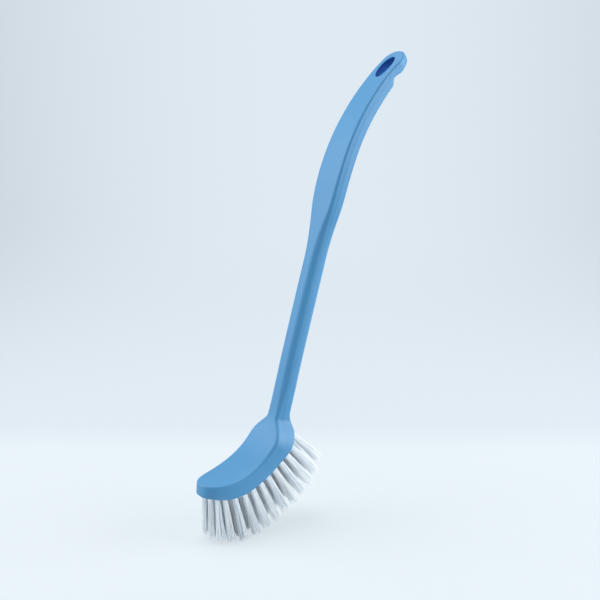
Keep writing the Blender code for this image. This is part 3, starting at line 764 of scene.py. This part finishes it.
bristle, bristle_shader, at = new_material("white_bristle_filament")
tree = bristle.node_tree
tone = add_node(tree, "ShaderNodeAttribute", {"attribute_name": "strand_tone"}, {}, "Fac")
mottle = noise(at, MOTTLE_WAVES, 2.0)
shade = tone * TONE_WEIGHT + mottle * MOTTLE_WEIGHT - SHADE_START
tree.links.new(blend_colours(shade, BRISTLE_SHADE, BRISTLE_WHITE).socket, bristle_shader.inputs["Base Color"])
tree.links.new((DRAWN_ROUGHNESS + mottle * MOTTLE_DULLING).socket, bristle_shader.inputs["Roughness"])
bristle_shader.inputs["IOR"].default_value = POLYMER_IOR

for name, origin, axes, length in zip(tuft_names, tuft_origins, tuft_axes, tuft_lengths(tuft_distances)):
    paths = strand_paths(length)
    rings = strand_rings(paths, FILAMENT_THICKNESS) @ axes + origin
    mesh = strands_mesh(name.replace("tuft", "bristles"), rings, paths[:, [0, -1]] @ axes + origin)
    tuft = add_piece(mesh.name, mesh)
    tuft.data.materials.append(bristle)
    tones = strand_tones()
    tones = np.concatenate([np.repeat(tones, FILAMENT_SIDES, axis=1), tones[:, [0, -1]]], axis=1)
    attribute = mesh.attributes.new("strand_tone", "FLOAT", "POINT")
    attribute.data.foreach_set("value", tones.astype(np.float32).ravel())
    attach(tuft, "root")
    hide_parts(name)

# The staples: short lengths of flat galvanised wire, one across each socket. The filling machine drives each
# one down over the middle of its bundle, and its ends bite into the plastic beside the socket.
STAPLE_THICKNESS = 0.0005
STAPLE_HEIGHT = 0.0016
STAPLE_BITE = 0.0004
STAPLE_BOTTOM = -0.0045
STAPLE_EDGE = 0.00008
CUT_END_SHARE = 0.85


def staple_grids():
    """Flat bars with broken edges: octagonal sections across the socket, closed at both ends."""
    half_x, half_z, edge = STAPLE_THICKNESS / 2, STAPLE_HEIGHT / 2, STAPLE_EDGE
    corner = np.array([
        (half_x, half_z - edge), (half_x - edge, half_z), (edge - half_x, half_z), (-half_x, half_z - edge),
        (-half_x, edge - half_z), (edge - half_x, -half_z), (half_x - edge, -half_z), (half_x, edge - half_z),
    ])
    reach = SOCKET_DIAMETER / 2 + STAPLE_BITE
    across = np.array([-reach, -reach, -reach + edge, reach - edge, reach, reach])
    fill = np.array([0.0, CUT_END_SHARE, 1.0, 1.0, CUT_END_SHARE, 0.0])
    x = corner[None, :, 0] * fill[:, None]
    z = corner[None, :, 1] * fill[:, None] + STAPLE_BOTTOM + half_z
    bar = np.stack([x, across[:, None] + 0 * x, z], axis=-1)
    return np.einsum("rsk,tkj->trsj", bar, tuft_axes) + tuft_origins[:, None, None]


ZINC_GREY = (0.50, 0.51, 0.53, 1.0)
ZINC_BRIGHT = (0.66, 0.67, 0.69, 1.0)
ZINC_WAVES = 700.0
ZINC_ROUGHNESS = 0.28
ZINC_DULLING = 0.25

steel, steel_shader, at = new_material("galvanised_wire")
tree = steel.node_tree
dull = noise(at, ZINC_WAVES, 3.0)
tree.links.new(blend_colours(dull, ZINC_GREY, ZINC_BRIGHT).socket, steel_shader.inputs["Base Color"])
tree.links.new((ZINC_ROUGHNESS + dull * ZINC_DULLING).socket, steel_shader.inputs["Roughness"])
steel_shader.inputs["Metallic"].default_value = 1.0
staples = add_piece("tuft_staples", grid_mesh("tuft_staples", staple_grids()))
staples.data.materials.append(steel)
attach(staples, "root")

# The floor: one pale sheet under the lowest tips, far wider than the view. It shows a glow of its colour to
# the camera and in gloss, with enough plain matt in it near the brush to hold its soft shadow. That glow
# holds
# painted light and shade: a little darker just behind the brush, paler again far away, and darker towards the
# sides there, where the studio's light falls off.
FLOOR_REACH = 12.0
FLOOR_LEVEL = cad_low.z
FLOOR_NEAR = (0.748, 0.818, 0.868, 1.0)
FLOOR_BEHIND_SHADED = (0.664, 0.733, 0.808, 1.0)
FLOOR_FAR = (0.745, 0.823, 0.889, 1.0)
FLOOR_MATT = (0.80, 0.86, 0.88, 1.0)
SHOWN_SHARE_NEAR = 0.74

# The distances from the target between which the floor's painted light and shade change, and the fan of
# painted
# shade that dims it to the sides: its middle, its origin in front of the target, how fast it dims and the
# least share of the colour it leaves.
BEHIND_REACHES = (0.10, 0.17)
FAR_REACHES = (0.25, 0.7)
FAN_REACHES = (0.10, 0.80)
FAN_MIDDLE = 0.02
FAN_ORIGIN = 1.32
FAN_DIMMING = 4.6
FAN_LEAST_SHARE = 0.8

# What the camera and the lamps look at, from the nose, and the way the view is turned.
TARGET_FROM_NOSE = (0.100, 0.0, 0.135)
TARGET = Vector(NOSE_POINT) + Vector(TARGET_FROM_NOSE)
VIEW_TURN = math.radians(36.0)


def seen_directly(tree):
    """1 for rays from the camera, by a gloss or through something clear, and 0 for those that carry light."""
    kinds = ("Is Camera Ray", "Is Glossy Ray", "Is Transmission Ray")
    camera_ray, gloss_ray, clear_ray = [add_node(tree, "ShaderNodeLightPath", {}, {}, kind) for kind in kinds]
    return camera_ray.maths("MAXIMUM", camera_ray, gloss_ray.maths("MAXIMUM", gloss_ray, clear_ray))


def reach_along(place, direction):
    """How far a place lies past the target along a level direction."""
    along = place.node("ShaderNodeVectorMath", {"operation": "DOT_PRODUCT"}, {0: place, 1: direction}, 1)
    return along - TARGET.dot(direction)


corners = FLOOR_REACH * np.array([(-1, -1, 0), (1, -1, 0), (1, 1, 0), (-1, 1, 0)], float)
floor_mesh = bpy.data.meshes.new("floor")
floor_mesh.from_pydata(corners + np.array([0.0, 0.0, FLOOR_LEVEL]), [], [(0, 1, 2, 3)])
floor = add_piece("floor", floor_mesh)
floor_material, floor_shader, at = new_material("pale_floor")
tree = floor_material.node_tree
away = Vector((math.sin(VIEW_TURN), math.cos(VIEW_TURN), 0.0))
beside = Vector((math.cos(VIEW_TURN), -math.sin(VIEW_TURN), 0.0))
past = reach_along(at, away)
aside = reach_along(at, beside)
far_share = past.maths("SQRT", past * past + aside * aside).rise(*FAR_REACHES)
fan = (aside - FAN_MIDDLE) / (past + FAN_ORIGIN)
# Painted shade: the floor's glow is dimmed towards the sides, where the studio's light falls off.
painted_side_shade = 1.0 - fan * fan * FAN_DIMMING * past.rise(*FAN_REACHES)
painted_side_shade = painted_side_shade.maths("MAXIMUM", painted_side_shade, FAN_LEAST_SHARE)
# Painted shade and light: the glow is darker just behind the brush, then paler again far away.
close_colour = blend_colours(past.rise(*BEHIND_REACHES), FLOOR_NEAR, FLOOR_BEHIND_SHADED)
shown_colour = blend_colours(far_share, close_colour, FLOOR_FAR)
glow = at.node("ShaderNodeEmission", {}, {"Color": shown_colour, "Strength": painted_side_shade})
matt = at.node("ShaderNodeBsdfDiffuse", {}, {"Color": FLOOR_MATT})
shown_share = SHOWN_SHARE_NEAR + far_share * (1.0 - SHOWN_SHARE_NEAR)
mixed = at.node("ShaderNodeMixShader", {}, {0: seen_directly(tree) * shown_share, 1: matt, 2: glow})
tree.nodes.remove(floor_shader)
tree.links.new(mixed.socket, tree.nodes["Material Output"].inputs["Surface"])
floor_material.cycles.emission_sampling = "NONE"
floor.data.materials.append(floor_material)

# Light: a large soft box to the left of the view, a nearer one to the right and one overhead, in a pale room
# that is seen as plain backdrop. Each box: its turn from the view's right and its height in degrees, its
# distance, its side and its radiance.
ROOM_LIGHT = (0.82, 0.92, 1.0, 1.0)
ROOM_STRENGTH = 0.39
SOFT_BOXES = (
    ("left_soft_box", 180.0, 20.0, 1.5, 1.2, 3.1),
    ("right_soft_box", -2.0, 14.0, 1.15, 0.95, 4.8),
    ("top_soft_box", 150.0, 75.0, 1.6, 1.2, 4.1),
)

world = bpy.data.worlds.new("room")
bpy.context.scene.world = world
world.use_nodes = True
tree = world.node_tree
tree.nodes.remove(tree.nodes["Background"])
room = add_node(tree, "ShaderNodeBackground", {}, {"Color": ROOM_LIGHT, "Strength": ROOM_STRENGTH})
backdrop = add_node(tree, "ShaderNodeBackground", {}, {"Color": FLOOR_FAR, "Strength": 1.0})
both = room.node("ShaderNodeMixShader", {}, {0: seen_directly(tree), 1: room, 2: backdrop})
tree.links.new(both.socket, tree.nodes["World Output"].inputs["Surface"])


def soft_box(name, turn, height, distance, side, radiance):
    """A square area lamp that faces the target. Its power is its radiance times pi times its area."""
    flat = Matrix.Rotation(math.radians(turn), 3, "Z") @ beside
    direction = flat * math.cos(math.radians(height)) + Vector((0.0, 0.0, math.sin(math.radians(height))))
    lamp = bpy.data.lights.new(name, "AREA")
    lamp.shape = "SQUARE"
    lamp.size = side
    lamp.energy = radiance * math.pi * side * side
    thing = bpy.data.objects.new(name, lamp)
    bpy.context.scene.collection.objects.link(thing)
    thing.location = TARGET + direction * distance
    thing.rotation_mode = "QUATERNION"
    thing.rotation_quaternion = direction.to_track_quat("Z", "Y")


for box in SOFT_BOXES:
    soft_box(*box)

# Camera: a long lens, 20 degrees above the floor and turned 36 degrees round the brush. The lens is shifted
# so that the target falls on its own pixel of a picture 600 pixels square.
VIEW_ELEVATION = math.radians(20.0)
VIEW_DISTANCE = 1.4
LENS_MILLIMETRES = 110.526
SENSOR_MILLIMETRES = 36.0
PICTURE_PIXELS = 600.0
TARGET_PIXEL_X = 307.01
TARGET_PIXEL_Y = 288.67

toward_camera = Vector((
    -math.sin(VIEW_TURN) * math.cos(VIEW_ELEVATION), -math.cos(VIEW_TURN) * math.cos(VIEW_ELEVATION),
    math.sin(VIEW_ELEVATION),
))
lens = bpy.data.cameras.new("camera")
lens.lens = LENS_MILLIMETRES
lens.sensor_width = SENSOR_MILLIMETRES
lens.shift_x = (PICTURE_PIXELS / 2 - TARGET_PIXEL_X) / PICTURE_PIXELS
lens.shift_y = (TARGET_PIXEL_Y - PICTURE_PIXELS / 2) / PICTURE_PIXELS
camera = bpy.data.objects.new("camera", lens)
bpy.context.scene.collection.objects.link(camera)
camera.location = TARGET + toward_camera * VIEW_DISTANCE
camera.rotation_mode = "QUATERNION"
camera.rotation_quaternion = (-toward_camera).to_track_quat("-Z", "Y")
bpy.context.scene.camera = camera
bpy.context.scene.view_settings.view_transform = "Standard"
